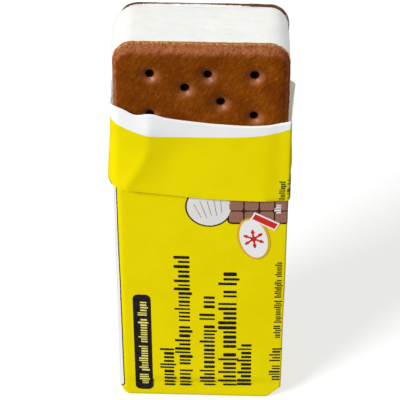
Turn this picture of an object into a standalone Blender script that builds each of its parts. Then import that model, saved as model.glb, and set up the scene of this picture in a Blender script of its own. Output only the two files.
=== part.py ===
"""Ice cream sandwich standing on end in its opened paper wrapper.

Two chocolate wafers hold a slab of vanilla ice cream, and the back wafer sits a little higher than the front
one. A paper sleeve covers the lower three quarters. Its mouth was pushed down, so that one pleat forms a
loose cuff with a slanting lower fold. The front wafer faces -Y, the open end points up, and the origin is the
middle of the flat base of the wrapper.
"""

import math

import bmesh
import bpy
from mathutils import Vector

MM = 0.001

# Sandwich
WAFER_WIDTH = 49.0 * MM
WAFER_LENGTH = 122.0 * MM
WAFER_THICK = 2.9 * MM
WAFER_CORNER = 5.8 * MM
WAFER_EDGE = 1.3 * MM
SLAB_THICK = 20.8 * MM
SLAB_SWELL = 0.3 * MM
SLAB_INSET = 0.25 * MM
BACK_WAFER_RISE = 1.0 * MM
JOIN_GAP = 0.3 * MM
SANDWICH_THICK = SLAB_THICK + 2 * WAFER_THICK

# Docking holes: two outer columns, with an inner hole that wanders from row to row
HOLE_RADIUS = 1.3 * MM
HOLE_TAPER = 0.75
HOLE_DEPTH = 2.2 * MM
HOLE_SIDES = 8
HOLE_FIRST_ROW = 9.2 * MM
HOLE_ROW_PITCH = 4.2 * MM
HOLE_ROWS = 26
HOLE_OUTER_X = (-14.25 * MM, 14.8 * MM)
HOLE_OUTER_EVERY = 3
HOLE_INNER_X = (1.8 * MM, -4.5 * MM, 5.5 * MM, None, -5.5 * MM, 4.5 * MM)

# Wrapper: the sleeve, measured to the middle of the paper
PAPER = 0.25 * MM
SIDE_GAP = 0.6 * MM
FACE_GAP = 0.35 * MM
SLEEVE_X = (WAFER_WIDTH + PAPER) / 2 + SIDE_GAP
SLEEVE_Y = (SANDWICH_THICK + PAPER) / 2 + FACE_GAP
SLEEVE_EDGE = 1.6 * MM
BASE_ROUND = 1.0 * MM
BASE_LAYERS = 0.8 * MM
SANDWICH_LIFT = BASE_LAYERS + JOIN_GAP
TUCK_RIGHT = (4.6 * MM, 4.6 * MM)
TUCK_LEFT = (1.2 * MM, 3.0 * MM)

# Wrapper: the pleat's lower fold and the mouth's rim
FOLD_Z = 75.6 * MM
FOLD_SLOPE = -0.0845
FOLD_CURVE = 1.6
FOLD_BACK_Z = 78.0 * MM
FOLD_SIDE_RISE = 2.0 * MM
FOLD_OVERLAP = 4.0 * MM
RIM_LOW_Z = 99.1 * MM
RIM_LOW_X = 14.0 * MM
RIM_SLOPE_LEFT = 0.03
RIM_CURVE_LEFT = 2.0 * MM
RIM_CURVE_RIGHT = 7.4 * MM
RIM_BACK_Z = 98.3 * MM

# Wrapper: how far the cuff stands off: all round at its fold and its rim, and more at its corners and back
CUFF_OUT_FOLD = 1.3 * MM
CUFF_OUT_RIM = 0.3 * MM
CUFF_LEAN = 0.28
LOOSE_FRONT_LEFT = 0.9 * MM
LOOSE_BACK = 0.5 * MM
LOOSE_BACK_RIGHT = 1.5 * MM
LOOSE_BACK_LEFT = 2.1 * MM

EDGE_STEPS = 3
FACE_STEPS = 10
SIDE_STEPS = 6


def clear_scene():
    for obj in list(bpy.data.objects):
        bpy.data.objects.remove(obj, do_unlink=True)


def plain_material(name, colour, roughness):
    material = bpy.data.materials.new(name)
    material.use_nodes = True
    shader = material.node_tree.nodes["Principled BSDF"]
    shader.inputs["Base Color"].default_value = (*colour, 1.0)
    shader.inputs["Roughness"].default_value = roughness
    shader.inputs["Metallic"].default_value = 0.0
    return material


def add_object(name, bm, material, smooth_angle=35.0):
    """Makes a named object of the bmesh, with its faces pointing outwards and its round parts smooth."""
    bmesh.ops.recalc_face_normals(bm, faces=bm.faces)
    mesh = bpy.data.meshes.new(name)
    bm.to_mesh(mesh)
    bm.free()
    mesh.shade_smooth()
    mesh.set_sharp_from_angle(angle=math.radians(smooth_angle))
    mesh.materials.append(material)
    obj = bpy.data.objects.new(name, mesh)
    bpy.context.scene.collection.objects.link(obj)
    return obj


def block(width, thick, length):
    """A bmesh box centred on the origin: width along X, thick along Y, length along Z."""
    bm = bmesh.new()
    bmesh.ops.create_cube(bm, size=1.0)
    bmesh.ops.scale(bm, vec=(width, thick, length), verts=bm.verts)
    return bm


def edges_along(bm, axis):
    """The edges that run along one axis, 0 for X, 1 for Y and 2 for Z."""
    found = []
    for edge in bm.edges:
        run = (edge.verts[1].co - edge.verts[0].co).normalized()
        if abs(run[axis]) > 0.999:
            found.append(edge)
    return found


def bevel(bm, edges, width, segments):
    bmesh.ops.bevel(
        bm, geom=edges, offset=width, offset_type="OFFSET", segments=segments,
        profile=0.5, affect="EDGES", material=-1, clamp_overlap=True,
    )


def hole_places():
    """(x, distance below the wafer's top end) of every docking hole."""
    places = []
    for row in range(HOLE_ROWS):
        down = HOLE_FIRST_ROW + row * HOLE_ROW_PITCH
        if row % HOLE_OUTER_EVERY == 0:
            places += [(x, down) for x in HOLE_OUTER_X]
        inner = HOLE_INNER_X[row % len(HOLE_INNER_X)]
        if inner is not None:
            places.append((inner, down))
    return places


def hole_cutter(name, face_y, outward):
    """Tapered pins that stand in the wafer's face. outward is the face's side along Y, -1 or 1."""
    bm = bmesh.new()
    clear = 0.5 * MM
    depth = HOLE_DEPTH + clear
    for x, down in hole_places():
        made = bmesh.ops.create_cone(
            bm, cap_ends=True, segments=HOLE_SIDES, depth=depth,
            radius1=HOLE_RADIUS * HOLE_TAPER, radius2=HOLE_RADIUS,
        )
        bmesh.ops.rotate(
            bm, verts=made["verts"], cent=(0, 0, 0),
            matrix=Vector((0, 0, 1)).rotation_difference(Vector((0, outward, 0))).to_matrix(),
        )
        middle = face_y + outward * (clear - depth / 2)
        bmesh.ops.translate(bm, verts=made["verts"], vec=(x, middle, WAFER_LENGTH / 2 - down))
    bmesh.ops.recalc_face_normals(bm, faces=bm.faces)
    mesh = bpy.data.meshes.new(name)
    bm.to_mesh(mesh)
    bm.free()
    cutter = bpy.data.objects.new(name, mesh)
    bpy.context.scene.collection.objects.link(cutter)
    cutter.hide_render = True
    cutter.display_type = "WIRE"
    return cutter


def wafer(name, outward, rise, material):
    """One wafer: a thin slab with round corners, a soft outer edge and docking holes in its outer face."""
    bm = block(WAFER_WIDTH, WAFER_THICK, WAFER_LENGTH)
    bevel(bm, edges_along(bm, 1), WAFER_CORNER, 6)
    outer = [e for e in bm.edges if all(v.co.y * outward > WAFER_THICK / 2 - 1e-6 for v in e.verts)]
    bevel(bm, outer, WAFER_EDGE, 2)
    obj = add_object(name, bm, material)
    cutter = hole_cutter(name + "_holes", outward * WAFER_THICK / 2, outward)
    middle_y = outward * (SANDWICH_THICK - WAFER_THICK) / 2
    for part in (obj, cutter):
        part.location = (0, middle_y, SANDWICH_LIFT + rise + WAFER_LENGTH / 2)
    cut = obj.modifiers.new("docking_holes", "BOOLEAN")
    cut.operation = "DIFFERENCE"
    cut.solver = "EXACT"
    cut.object = cutter
    return obj


def ice_cream(material):
    """The slab between the wafers. Its sides swell a little past the wafers at mid depth."""
    thick = SLAB_THICK - 2 * JOIN_GAP
    bm = block(WAFER_WIDTH - 2 * SLAB_INSET, thick, WAFER_LENGTH - 2 * SLAB_INSET)
    bevel(bm, edges_along(bm, 1), WAFER_CORNER - SLAB_INSET, 6)
    for share in (-0.7, -0.3, 0.3, 0.7):
        bmesh.ops.bisect_plane(
            bm, geom=bm.verts[:] + bm.edges[:] + bm.faces[:],
            plane_co=(0, share * thick / 2, 0), plane_no=(0, 1, 0),
        )
    half_x = WAFER_WIDTH / 2
    half_z = WAFER_LENGTH / 2
    for vert in bm.verts:
        swell = SLAB_SWELL * (1 - (2 * vert.co.y / thick) ** 2)
        vert.co.x += swell * vert.co.x / half_x
        vert.co.z += swell * vert.co.z / half_z
    obj = add_object("ice_cream", bm, material)
    obj.location = (0, 0, SANDWICH_LIFT + (BACK_WAFER_RISE + WAFER_LENGTH) / 2)
    return obj


def sleeve_section():
    """Points round the sleeve's section, anticlockwise from above, each with its outward direction."""
    points = []
    corners = ((1, -1), (1, 1), (-1, 1), (-1, -1))
    steps = (SIDE_STEPS, FACE_STEPS, SIDE_STEPS, FACE_STEPS)
    arcs = []
    for number, (sx, sy) in enumerate(corners):
        middle = Vector((sx * (SLEEVE_X - SLEEVE_EDGE), sy * (SLEEVE_Y - SLEEVE_EDGE)))
        first = math.radians(90 * (number - 1))
        arc = []
        for step in range(EDGE_STEPS + 1):
            angle = first + math.radians(90) * step / EDGE_STEPS
            out = Vector((math.cos(angle), math.sin(angle)))
            arc.append((middle + SLEEVE_EDGE * out, out))
        arcs.append(arc)
    for number, arc in enumerate(arcs):
        points += arc
        start, out = arc[-1]
        end = arcs[(number + 1) % len(arcs)][0][0]
        for step in range(1, steps[number]):
            points.append((start.lerp(end, step / steps[number]), out))
    return points


def round_pull(height, radius):
    """How far a face that rounds into the base with this radius stands in from its full width."""
    if height >= radius:
        return 0.0
    return radius - math.sqrt(max(0.0, radius**2 - (radius - height) ** 2))


def tuck_pull(height, tuck):
    """How far a side with a straight tuck, (across, up), over the sandwich's corner stands in."""
    across, up = tuck
    return across * max(0.0, 1 - height / up)


def depth_share(y):
    """0 at the front of the sleeve and 1 at its back."""
    return min(1.0, max(0.0, (y + SLEEVE_Y) / (2 * SLEEVE_Y)))


def fold_height(x, y):
    """The cuff's lower fold: it slants down to the right across the front and rises round the sides."""
    back = depth_share(y)
    front_z = FOLD_Z + FOLD_SLOPE * x + FOLD_CURVE * x**2
    rise = FOLD_SIDE_RISE * math.sin(math.pi * back) ** 0.6
    return front_z * (1 - back) + FOLD_BACK_Z * back + rise


def rim_height(x, y):
    """The mouth's edge: a wide curve across the front, low right of the middle, and level along the back."""
    back = depth_share(y)
    left = max(0.0, RIM_LOW_X - x)
    right = max(0.0, x - RIM_LOW_X)
    front_z = RIM_LOW_Z + RIM_SLOPE_LEFT * left + RIM_CURVE_LEFT * (left / SLEEVE_X) ** 2
    front_z += RIM_CURVE_RIGHT * (right / SLEEVE_X) ** 2
    return front_z * (1 - back) + RIM_BACK_Z * back


def cuff_looseness(x, y, share):
    """How much further the cuff stands off than the pleat: most at the front left and both back corners."""
    back = depth_share(y)
    corner = abs(x / SLEEVE_X) ** 5
    at_back = LOOSE_BACK + corner * ((LOOSE_BACK_RIGHT if x > 0 else LOOSE_BACK_LEFT) - LOOSE_BACK)
    at_front = LOOSE_FRONT_LEFT * corner * math.exp(-(((share - 0.2) / 0.34) ** 2)) if x < 0 else 0.0
    belly = 0.45 + 0.7 * math.sin(math.pi * (0.1 + 0.62 * share))
    return at_front * (1 - back) + at_back * back * belly


def cuff_stand_off(x, y, share):
    """The cuff's distance from the sleeve: from its fold at 0 it leans in, and stands up to its rim at 1."""
    lean = math.exp(-((max(0.0, share - 0.1) / CUFF_LEAN) ** 1.3))
    out = CUFF_OUT_RIM + (CUFF_OUT_FOLD - CUFF_OUT_RIM) * lean
    return out + cuff_looseness(x, y, share)


def wrapper_levels():
    """The paper from base to rim, as (height, stand-off) functions of a point of the section."""
    levels = []
    for turn in (0, 30, 60, 90):
        height = BASE_ROUND * (1 - math.cos(math.radians(turn)))
        levels.append((lambda x, y, h=height: h, lambda x, y: 0.0))
    for height in (TUCK_LEFT[1], TUCK_RIGHT[1], 40 * MM):
        levels.append((lambda x, y, h=height: h, lambda x, y: 0.0))
    inner_fold = ((0.0, 0.0), (0.22, 0.08), (0.3, 0.3), (0.22, 0.52))
    for rise, out in inner_fold:
        levels.append((
            lambda x, y, r=rise: fold_height(x, y) + FOLD_OVERLAP + r * MM,
            lambda x, y, o=out: o * MM,
        ))
    outer_fold = (
        (0.3, 0.6, 0.0), (0.07, 0.68, 0.0), (0.0, 0.9, 0.15), (0.07, 1.12, 0.3), (0.8, 1.25, 0.7),
    )
    for rise, out, loose in outer_fold:
        levels.append((
            lambda x, y, r=rise: fold_height(x, y) + r * MM,
            lambda x, y, o=out, k=loose: o * MM + k * cuff_looseness(x, y, 0.0),
        ))
    for share in (0.12, 0.22, 0.33, 0.46, 0.62, 0.8, 1.0):
        levels.append((
            lambda x, y, s=share: fold_height(x, y) * (1 - s) + rim_height(x, y) * s,
            lambda x, y, s=share: cuff_stand_off(x, y, s),
        ))
    return levels


def level_points(section, height_of, stand_off):
    """One loop of the wrapper. Near the base the sides draw in over the sandwich's corners."""
    points = []
    for place, out in section:
        height = height_of(place.x, place.y)
        tuck = TUCK_RIGHT if place.x > 0 else TUCK_LEFT
        pull_x = tuck_pull(height, tuck) * place.x / SLEEVE_X
        pull_y = round_pull(height, BASE_ROUND) * place.y / SLEEVE_Y
        away = out * stand_off(place.x, place.y)
        points.append(Vector((place.x - pull_x + away.x, place.y - pull_y + away.y, height + PAPER / 2)))
    return points


def folded_end():
    """The layers of paper folded over each other inside the base, which join the wrapper's skin."""
    bm = block(
        2 * (SLEEVE_X - TUCK_RIGHT[0]), 2 * (SLEEVE_Y - BASE_ROUND), BASE_LAYERS - PAPER / 2,
    )
    bmesh.ops.translate(bm, verts=bm.verts, vec=(0, 0, (BASE_LAYERS + PAPER / 2) / 2))
    mesh = bpy.data.meshes.new("folded_end")
    bm.to_mesh(mesh)
    bm.free()
    layers = bpy.data.objects.new("folded_end", mesh)
    bpy.context.scene.collection.objects.link(layers)
    layers.hide_render = True
    layers.display_type = "WIRE"
    return layers


def wrapper(material):
    """The paper: a closed base, the sleeve, a pleat and the loose cuff, as one skin given its thickness."""
    bm = bmesh.new()
    section = sleeve_section()
    levels = wrapper_levels()
    loop = [bm.verts.new(p) for p in level_points(section, *levels[0])]
    count = len(loop)
    edges = [bm.edges.new((loop[i], loop[(i + 1) % count])) for i in range(count)]
    bm.faces.new(loop)
    for level in levels[1:]:
        made = bmesh.ops.extrude_edge_only(bm, edges=edges)["geom"]
        edges = [e for e in made if isinstance(e, bmesh.types.BMEdge)]
        above = {}
        for vert in made:
            if isinstance(vert, bmesh.types.BMVert):
                below = next(e.other_vert(vert) for e in vert.link_edges if e.other_vert(vert) in loop)
                above[below] = vert
        loop = [above[v] for v in loop]
        for vert, place in zip(loop, level_points(section, *level)):
            vert.co = place
    obj = add_object("wrapper", bm, material)
    paper = obj.modifiers.new("paper", "SOLIDIFY")
    paper.thickness = PAPER
    paper.offset = 0.0
    paper.use_even_offset = False
    paper.use_rim = True
    base = obj.modifiers.new("base_layers", "BOOLEAN")
    base.operation = "UNION"
    base.solver = "EXACT"
    base.object = folded_end()
    return obj


def main():
    clear_scene()
    chocolate = plain_material("chocolate_wafer", (0.19, 0.055, 0.012), 0.75)
    vanilla = plain_material("vanilla_ice_cream", (0.90, 0.90, 0.86), 0.55)
    yellow = plain_material("yellow_paper", (0.80, 0.66, 0.0), 0.4)
    wafer("wafer_front", -1, 0.0, chocolate)
    wafer("wafer_back", 1, BACK_WAFER_RISE, chocolate)
    ice_cream(vanilla)
    wrapper(yellow)


main()
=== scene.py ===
"""Looks of an ice cream sandwich that stands on end in its opened paper wrapper.

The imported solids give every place. The wafers, the ice cream and the paper are modelled again here
with their real surfaces: baked crumb and docking holes, scraped frozen cream, and thin paper with a
pleat, a loose cuff and print.
"""

import math
import random

import bmesh
import bpy
from mathutils import Matrix, Vector, noise


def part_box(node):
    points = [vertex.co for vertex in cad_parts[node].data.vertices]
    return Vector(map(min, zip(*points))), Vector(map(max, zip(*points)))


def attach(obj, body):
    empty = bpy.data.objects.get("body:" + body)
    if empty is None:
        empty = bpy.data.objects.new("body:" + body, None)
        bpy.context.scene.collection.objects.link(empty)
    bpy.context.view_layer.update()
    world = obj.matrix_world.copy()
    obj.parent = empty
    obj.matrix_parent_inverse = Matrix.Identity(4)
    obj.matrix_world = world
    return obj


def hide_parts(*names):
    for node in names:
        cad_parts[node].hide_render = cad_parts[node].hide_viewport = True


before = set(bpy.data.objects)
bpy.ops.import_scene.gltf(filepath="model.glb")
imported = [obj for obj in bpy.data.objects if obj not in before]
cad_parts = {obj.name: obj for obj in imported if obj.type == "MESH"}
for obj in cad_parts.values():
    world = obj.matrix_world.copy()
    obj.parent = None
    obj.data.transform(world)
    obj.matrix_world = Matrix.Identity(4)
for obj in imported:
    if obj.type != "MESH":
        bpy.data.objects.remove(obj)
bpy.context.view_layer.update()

MM = 0.001

# ---------------------------------------------------------------- sizes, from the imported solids

WAFER_LOW, WAFER_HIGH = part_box("wafer_front")
BACK_LOW, BACK_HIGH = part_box("wafer_back")
SLAB_LOW, SLAB_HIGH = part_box("ice_cream")
WRAP_LOW, WRAP_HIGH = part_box("wrapper")

WAFER_HALF_X = (WAFER_HIGH.x - WAFER_LOW.x) / 2
WAFER_HALF_Z = (WAFER_HIGH.z - WAFER_LOW.z) / 2
WAFER_THICK = WAFER_HIGH.y - WAFER_LOW.y
FACE_Y = -WAFER_THICK / 2
SANDWICH_HALF_Y = BACK_HIGH.y

# Wafer. Its side is drawn as (depth, inset) in millimetres, down to SIDE_DEPTH.
WAFER_CORNER = 5.8 * MM
WAFER_EDGE = 0.4 * MM
WAFER_PILLOW = 0.95 * MM
WAFER_PILLOW_REACH = 3.8 * MM
WAFER_SIDE = ((0.35, 0.0), (0.75, 0.0), (1.1, 0.0), (1.35, 0.05), (1.5, 0.25), (1.55, 0.6))
SIDE_DEPTH = 1.55
SHOWN_LENGTH = 32 * MM
WAFER_COLUMNS = 100
ROW_FIRST = 0.14 * MM
ROW_GROWTH = 1.16
ROW_SHOWN = 0.52 * MM
ROW_HIDDEN = 1.6 * MM
BOTTOM_LENGTH = 7 * MM
BOTTOM_ROWS = (0.24, 0.46, 0.64, 0.78, 0.88, 0.95, 1.0)

# Docking holes. The pin that presses them is drawn as (share of the radius, height), up to
# PIN_HEIGHT at its tip.
HOLE_RADIUS = 1.25 * MM
HOLE_DEPTH = 2.2 * MM
HOLE_FIRST_ROW = 9.2 * MM
HOLE_ROW_PITCH = 4.2 * MM
HOLE_ROWS = 26
HOLE_OUTER_X = (-14.25 * MM, 14.8 * MM)
HOLE_OUTER_EVERY = 3
HOLE_INNER_X = (1.8 * MM, -4.5 * MM, 5.5 * MM, None, -5.5 * MM, 4.5 * MM)
PIN = ((1.0, -0.2), (1.0, 0.6), (0.95, 1.05), (0.82, 1.2), (0.62, 1.45), (0.0, 1.75))
PIN_HEIGHT = 1.75
DIMPLE_DEPTH = 1.6 * MM
DIMPLE_REACH = 2.05 * MM
LIP_REACH = 1.9 * MM
LIP_WIDTH = 0.8 * MM

# Unevenness, as (height, width of one lump, seed of the noise), in millimetres
WAFER_WAVES = ((0.10, 11, 0), (0.05, 3.5, 2), (0.022, 1.1, 4))
WAFER_OUTLINE = ((0.16, 2.6, 6), (0.09, 0.9, 9))
SLEEVE_WAVES = ((0.11, 17, 41), (0.03, 6, 43))

# Ice cream
SLAB_INSET = 0.25 * MM
SLAB_RINGS = 36
SLAB_BARE_FROM = WAFER_HALF_Z - 24 * MM
SLAB_BARE_TO = WAFER_HALF_Z - 16 * MM

# Paper
PAPER = 0.14 * MM
SLEEVE_X = WAFER_HALF_X + 0.725 * MM
SLEEVE_Y = SANDWICH_HALF_Y + 0.475 * MM
SLEEVE_CORNERS = (0.45 * MM, 2.0 * MM, 2.2 * MM, 2.6 * MM)
SLEEVE_SLACK = 0.65
SLEEVE_STEPS = 56
BASE_ROUND = 1.0 * MM
BASE_TOP = 6.4 * MM
END_LAYERS = 0.3 * MM
END_LAYERS_TOP = 6 * MM
TUCK_RIGHT = (4.6 * MM, 4.6 * MM)
TUCK_LEFT = (1.2 * MM, 3.0 * MM)
LAP_PLACE = -6.0 * MM
LAP_WIDTH = 8.0 * MM
LAP_FADE = 4 * MM
LAP_STEP = 0.16 * MM
LAP_EDGE = 0.03 * MM

# The two flaps under the base, as (place of the hinge, place of the free edge, height)
FLAPS = (
    (-SLEEVE_Y + 0.9 * MM, 4.5 * MM, 0.08 * MM),
    (SLEEVE_Y - 0.9 * MM, -5 * MM, 0.24 * MM),
)
FLAP_HALF = 21.4 * MM
FLAP_MIDDLE = -1.7 * MM
FLAP_PAPER = 0.11 * MM

# The cuff's fold, its pleat and its rim
FOLD_Z = 75.6 * MM
FOLD_SLOPE = -0.0845
FOLD_CURVE = 1.6
FOLD_BACK_Z = 78.0 * MM
FOLD_SIDE_RISE = 2.0 * MM
FOLD_OVERLAP = 4.0 * MM
PLEAT_OUT = 0.34 * MM
RIM_LOW_Z = 99.1 * MM
RIM_LOW_X = 14.0 * MM
RIM_SLOPE_LEFT = 0.03
RIM_CURVE_LEFT = 1.9 * MM
RIM_CURVE_RIGHT = 7.4 * MM
RIM_BACK_Z = 98.3 * MM
NICK_X = -18.6 * MM
NICK_DEPTH = 0.95
NICK_EAR_X = -13.4 * MM
NICK_EAR_RISE = 0.5

# The cuff itself. Looseness is what it stands off beyond CUFF_OUT.
CUFF_STEPS = 30
CUFF_OUT_FOLD = 1.3 * MM
CUFF_OUT_RIGHT = 0.52 * MM
CUFF_OUT_RIM = 0.2 * MM
CUFF_LEAN = 0.36
LOOSE_FRONT_LEFT = 0.4 * MM
LOOSE_BACK = 0.5 * MM
LOOSE_BACK_RIGHT = 1.5 * MM
LOOSE_BACK_LEFT = 2.1 * MM
CUFF_SHEET_SHIFT = 10 * MM

# The slanting ridge at the cuff's front left, and the crease at its right, in millimetres
RIDGE_TOP = (-14.6, 92.0)
RIDGE_SLANT = 0.3
RIDGE_BEND = 0.02
RIDGE_LEFTMOST = -21.0
RIDGE_FOOT = -25.0
RIDGE_HEIGHT = 1.5
RIDGE_FADE = 9.5
HOLLOW_DEPTH = 0.5
HOLLOW_PAST = 8.0
CREASE_DEPTH = 0.14
CREASE_X = 22.0

# The unprinted margin along the rim
MARGIN_Z = 95.4 * MM
MARGIN_LEFT = 4.0 * MM
MARGIN_RIGHT = 2.3 * MM
MARGIN_REACH = 24 * MM
MARGIN_WIDTH = 4.4 * MM

# Print, in millimetres on the flat sheet. Each layer of ink lies one LAYER higher.
LAYER = 0.03
CUFF_LAYER = 0.05
PLATE = 0.02
PRINT_SLANT = 0.008
SLANT_MIDDLE = 38.0
BEND_ACROSS = 0.85
BEND_CORNER = 0.25
BEND_UP = 1.4
PANEL_LOW = (-51.6, 2.8)
PANEL_HIGH = (-23.9, 90.0)
PANEL_CORNER = 2.2

# A word-like stroke, in shares of its line's height
STROKE = (0.13, 0.25)
STROKE_GAP = (0.11, 0.17)
STROKE_ROUND = 0.3
TALL_CHANCE = 0.35
SHORT_BY = 0.28
DROP_CHANCE = 0.12
DROP_BY = 0.14

# Lines of strokes, as (low corner, high corner, lengths of the words, seed, gap between the words)
FRONT_LINES = (
    ((-12.6, 4.6), (-8.2, 20.6), (16.0,), 11),
    ((-7.9, 4.7), (-3.1, 56.3), (8.0, 15.5, 26.0), 12),
    ((-0.3, 5.0), (4.4, 40.8), (25.0, 3.6, 5.0), 13),
    ((5.4, 5.1), (11.0, 50.9), (14.5, 18.5, 3.0, 5.6), 14),
    ((11.3, 5.3), (15.7, 22.3), (17.0,), 15),
    ((21.2, 7.6), (24.6, 21.5), (6.6, 5.8), 16),
    ((22.3, 24.3), (24.4, 53.1), (5.2, 8.8, 7.0, 7.5), 17, 0.8),
)
TAB_LINES = (((-19.1, 5.2), (-16.3, 37.8), (5.0, 10.4, 9.6, 5.6), 21, 1.0),)
REAR_LINES = (
    ((55.0, 8.0), (59.2, 62.0), (14.0, 9.0, 19.0), 81),
    ((60.8, 8.0), (65.0, 50.0), (18.0, 6.0, 12.0), 82),
)
EDGE_LINES = (
    ((22.5, 74.9), (24.3, 81.8), (6.6,), 31),
    ((24.75, 75.6), (26.0, 83.2), (3.6, 4.0), 32, 0.5),
)

BADGE_MIDDLE = (15.8, 61.1)
RIBBON_MIDDLE = (19.0, 67.2)

# Light, as (name, where it shines from, strength, width in degrees)
WORLD_LIGHT = 0.3
SUNS = (
    ("key", (-0.62, -0.59, 0.52), 3.3, 20),
    ("back", (0.60, 0.75, 0.28), 1.6, 60),
)

# Camera
CAMERA_LENS = 129.46
CAMERA_DISTANCE = 431.8 * MM
CAMERA_ELEVATION = 32.66
CAMERA_AZIMUTH = 1.82
CAMERA_ROLL = 0.16
CAMERA_TARGET = Vector((-0.6 * MM, 0.0, 65.1 * MM))


# ---------------------------------------------------------------- shader maths

class Number:
    """A value that varies over a surface. Python's operators on it add Math nodes."""

    def __init__(self, finish, socket):
        self.finish = finish
        self.socket = socket

    def math(self, operation, *others):
        sockets = dict(enumerate((self, *others)))
        made = self.finish.node("Math", {"operation": operation}, sockets)
        return Number(self.finish, made.outputs[0])

    def __add__(self, other):
        return self.math("ADD", other)

    __radd__ = __add__

    def __sub__(self, other):
        return self.math("SUBTRACT", other)

    def __rsub__(self, other):
        return (self * -1.0) + other

    def __mul__(self, other):
        return self.math("MULTIPLY", other)

    __rmul__ = __mul__

    def __truediv__(self, other):
        return self.math("DIVIDE", other)

    def __pow__(self, other):
        return self.math("POWER", other)

    def least(self, other):
        return self.math("MINIMUM", other)

    def most(self, other):
        return self.math("MAXIMUM", other)

    def size(self):
        return self.math("ABSOLUTE")

    def step(self, start, end):
        """0 up to start and 1 from end on, with a smooth rise between them."""
        sockets = {"Value": self, "From Min": start, "From Max": end}
        made = self.finish.node("MapRange", {"interpolation_type": "SMOOTHSTEP"}, sockets)
        return Number(self.finish, made.outputs["Result"])


class Finish:
    """One material: its shader, and the one way in which any other node is added."""

    def __init__(self, name, constants):
        self.material = bpy.data.materials.new(name)
        self.material.use_nodes = True
        self.tree = self.material.node_tree
        self.shader = self.tree.nodes["Principled BSDF"]
        for socket, value in constants.items():
            self.shader.inputs[socket].default_value = value

    def node(self, kind, settings, sockets):
        made = self.tree.nodes.new("ShaderNode" + kind)
        for name, value in settings.items():
            if name == "stops":
                self.set_stops(made.color_ramp, value)
            else:
                setattr(made, name, value)
        for name, value in sockets.items():
            self.join(value, made.inputs[name])
        return made

    def join(self, value, socket):
        if isinstance(value, Number):
            value = value.socket
        if isinstance(value, bpy.types.NodeSocket):
            self.tree.links.new(value, socket)
        else:
            socket.default_value = value

    @staticmethod
    def set_stops(ramp, stops):
        while len(ramp.elements) < len(stops):
            ramp.elements.new(1.0)
        for element, (place, colour) in zip(ramp.elements, stops):
            element.position = place
            element.color = (*colour, 1.0)

    def place(self):
        return self.node("TexCoord", {}, {}).outputs["Object"]

    def parts(self, place):
        """The three coordinates of a place."""
        split = self.node("SeparateXYZ", {}, {0: place})
        return [Number(self, split.outputs[axis]) for axis in range(3)]

    def turned(self, place, turn, scale):
        """The place turned and stretched, so that a pattern slants or lies one way."""
        made = self.node("Mapping", {"vector_type": "TEXTURE"}, {0: place, 2: turn})
        made = self.node("Mapping", {}, {"Vector": made.outputs["Vector"], "Scale": scale})
        return made.outputs["Vector"]

    def grain(self, place, size, detail=2.0, roughness=0.5, distortion=0.0):
        """Soft noise from 0 to 1 whose blobs are about as wide as size."""
        sockets = {
            "Vector": place, "Scale": 1 / size, "Detail": detail, "Roughness": roughness,
            "Distortion": distortion,
        }
        return Number(self, self.node("TexNoise", {}, sockets).outputs["Fac"])

    def painted(self, name):
        """A value that the mesh carries at its points."""
        made = self.node("Attribute", {"attribute_name": name}, {})
        return Number(self, made.outputs["Fac"])

    def ramp(self, value, *stops):
        return self.node("ValToRGB", {"stops": stops}, {"Fac": value}).outputs["Color"]

    def blend(self, share, low, high):
        """The colour low where share is 0 and high where it is 1."""
        low, high = [(*c, 1.0) if isinstance(c, tuple) else c for c in (low, high)]
        return self.node("Mix", {"data_type": "RGBA"}, {0: share, 6: low, 7: high}).outputs[2]

    def bump(self, height, distance):
        sockets = {"Height": height, "Distance": distance, "Strength": 1.0}
        return self.node("Bump", {}, sockets).outputs["Normal"]

    def show(self, sockets):
        for socket, value in sockets.items():
            self.join(value, self.shader.inputs[socket])
        return self.material


# ---------------------------------------------------------------- small helpers

def bell(offset, width):
    return math.exp(-((offset / width) ** 2))


def ease(value, start, end):
    """0 up to start and 1 from end on, with a smooth rise between them."""
    share = min(1.0, max(0.0, (value - start) / (end - start)))
    return share * share * (3 - 2 * share)


def lumps(place, size, seed):
    """Smooth noise from about -1 to 1, with lumps about as wide as size."""
    return noise.noise(place / size + Vector((seed, seed * 1.7, -seed)))


def uneven(place, waves, seed=0.0):
    """Several noises added up, in millimetres."""
    return sum(height * lumps(place, size * MM, seed + own) for height, size, own in waves)


def flat_turn(quarters):
    """The level direction that many quarter turns from +X."""
    angle = math.pi / 2 * quarters
    return Vector((round(math.cos(angle)), round(math.sin(angle))))


def extruded(bm, edges):
    """Extrudes open edges once. Gives the new points and the new edges."""
    made = bmesh.ops.extrude_edge_only(bm, edges=edges)["geom"]
    verts = [item for item in made if isinstance(item, bmesh.types.BMVert)]
    return verts, [item for item in made if isinstance(item, bmesh.types.BMEdge)]


def next_ring(bm, ring, edges):
    """Extrudes a closed ring. Gives the new points, in the old ring's order, and the new edges."""
    verts, made = extruded(bm, edges)
    old = set(ring)
    above = {}
    for vert in verts:
        below = next(e.other_vert(vert) for e in vert.link_edges if e.other_vert(vert) in old)
        above[below] = vert
    return [above[vert] for vert in ring], made


def new_object(name, bm):
    """An object made of the bmesh, which is used up."""
    mesh = bpy.data.meshes.new(name)
    bm.to_mesh(mesh)
    bm.free()
    made = bpy.data.objects.new(name, mesh)
    bpy.context.scene.collection.objects.link(made)
    return made


def evaluated_mesh(thing):
    """A new mesh that has the object's modifiers in it."""
    graph = bpy.context.evaluated_depsgraph_get()
    return bpy.data.meshes.new_from_object(thing.evaluated_get(graph), depsgraph=graph)


def finish_piece(name, bm, materials, smooth_angle):
    """Turns the bmesh into a piece that rides on the root body."""
    piece = new_object(name, bm)
    piece.data.shade_smooth()
    piece.data.set_sharp_from_angle(angle=math.radians(smooth_angle))
    for material in materials:
        piece.data.materials.append(material)
    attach(piece, "root")
    return piece


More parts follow.
